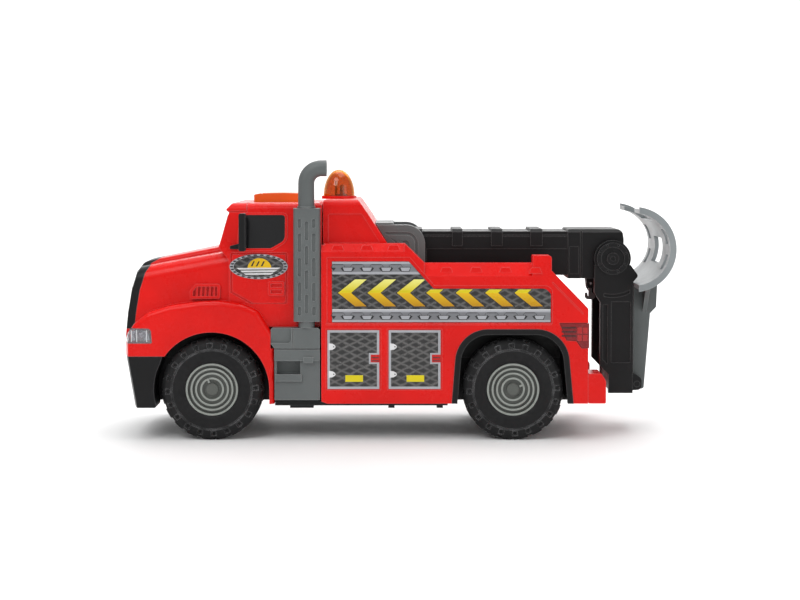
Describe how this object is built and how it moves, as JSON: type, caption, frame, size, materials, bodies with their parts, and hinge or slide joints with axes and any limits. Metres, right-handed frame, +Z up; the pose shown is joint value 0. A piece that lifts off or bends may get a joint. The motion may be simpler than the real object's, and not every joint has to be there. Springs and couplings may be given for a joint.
{
  "type": "toy tow truck",
  "caption": "Toy tow truck with a lifting and extending boom, a swinging wheel lift with a half-round cradle, a tow hook, free-rolling wheels and a press button on the roof.",
  "frame": {"origin": "on the ground under the middle of the overall box", "axes": "+X to the rear, along the length; +Y to the truck's right-hand side; +Z up"},
  "size_m": [0.3582, 0.12, 0.1788],
  "materials": {
    "red_plastic": "satin moulded",
    "black_plastic": "fine matt",
    "grey_plastic": "satin moulded",
    "light_grey_plastic": "satin moulded",
    "tyre_rubber": "matt",
    "hub_plastic": "satin",
    "amber_lens": "clear tinted",
    "clear_lens": "clear",
    "red_lens": "dark tinted",
    "dark_window": "gloss",
    "orange_plastic": "translucent gloss",
    "decal": "printed film",
    "steel": "plated",
    "bright_trim": "metallised",
    "board_green": "solder mask"
  },
  "bodies": {
    "truck": {"chassis": "black_plastic", "chassis_screws": "steel", "hood": "red_plastic", "front_wheel_wells": "black_plastic", "grille": "black_plastic", "front_bumper": "black_plastic", "headlamp_lenses": "clear_lens", "headlamp_reflectors": "bright_trim", "cab_shell": "red_plastic", "side_windows": "dark_window", "windscreen": "dark_window", "button_spring": "steel", "circuit_board": "board_green", "sound_switch": "black_plastic", "door_badges": "decal", "side_mirrors": "black_plastic", "beacon_tower": "red_plastic", "beacon_lens": "amber_lens", "beacon_reflector": "bright_trim", "exhaust_stack": "grey_plastic", "exhaust_shield": "grey_plastic", "step_tanks": "grey_plastic", "body_side_left": "red_plastic", "body_side_right": "red_plastic", "bed_deck": "red_plastic", "tail_panel": "red_plastic", "rear_arch_liners": "black_plastic", "tail_lamp_lenses": "red_lens", "rear_bumper": "red_plastic", "side_decals": "decal", "locker_decals": "decal", "boom_cover": "grey_plastic", "boom_pin": "steel", "battery_box": "black_plastic", "battery_door": "black_plastic", "battery_door_screw": "steel", "batteries": "steel", "battery_contacts": "steel", "speaker": "black_plastic"},
    "front_wheelset": {"front_axle": "steel", "front_tyres": "tyre_rubber", "front_hubs": "hub_plastic", "front_hub_caps": "hub_plastic"},
    "rear_wheelset": {"rear_axle": "steel", "rear_tyres": "tyre_rubber", "rear_hubs": "hub_plastic", "rear_hub_caps": "hub_plastic"},
    "button": {"roof_button": "orange_plastic"},
    "boom": {"outer_boom": "black_plastic"},
    "boom_slide": {"inner_boom": "black_plastic", "boom_head": "black_plastic", "hook_pin": "steel"},
    "hook": {"tow_hook": "grey_plastic"},
    "arm": {"lift_arm": "black_plastic", "arm_pin": "steel", "arm_caps": "black_plastic", "lever_pin": "black_plastic"},
    "wheel_lift": {"lift_lever": "grey_plastic", "wheel_cradle": "light_grey_plastic"}
  },
  "joints": [
    {"name": "front_wheels_spin", "type": "hinge", "parent": "truck", "child": "front_wheelset", "pos_m": [-0.1176, 0, 0.0324], "axis": [0, 1, 0], "continuous": true},
    {"name": "rear_wheels_spin", "type": "hinge", "parent": "truck", "child": "rear_wheelset", "pos_m": [0.0747, 0, 0.0324], "axis": [0, 1, 0], "continuous": true},
    {"name": "button_press", "type": "slide", "parent": "truck", "child": "button", "axis": [0, 0, -1], "range_m": [0, 0.0025], "stiffness_N_per_m": 400, "springref_m": -0.001, "deforming": ["button_spring"]},
    {"name": "boom_lift", "type": "hinge", "parent": "truck", "child": "boom", "pos_m": [0.0095, 0, 0.1175], "axis": [0, -1, 0], "range_deg": [0, 30]},
    {"name": "boom_extend", "type": "slide", "parent": "boom", "child": "boom_slide", "axis": [1, 0, 0], "range_m": [0, 0.04]},
    {"name": "hook_swing", "type": "hinge", "parent": "boom_slide", "child": "hook", "pos_m": [0.1298, 0, 0.0966], "axis": [0, 1, 0], "range_deg": [-20, 20]},
    {"name": "arm_swing", "type": "hinge", "parent": "boom_slide", "child": "arm", "pos_m": [0.1416, 0, 0.1144], "axis": [0, -1, 0], "range_deg": [0, 60]},
    {"name": "lever_fold", "type": "hinge", "parent": "arm", "child": "wheel_lift", "pos_m": [0.1593, 0, 0.0307], "axis": [0, 1, 0], "range_deg": [0, 90]}
  ]
}
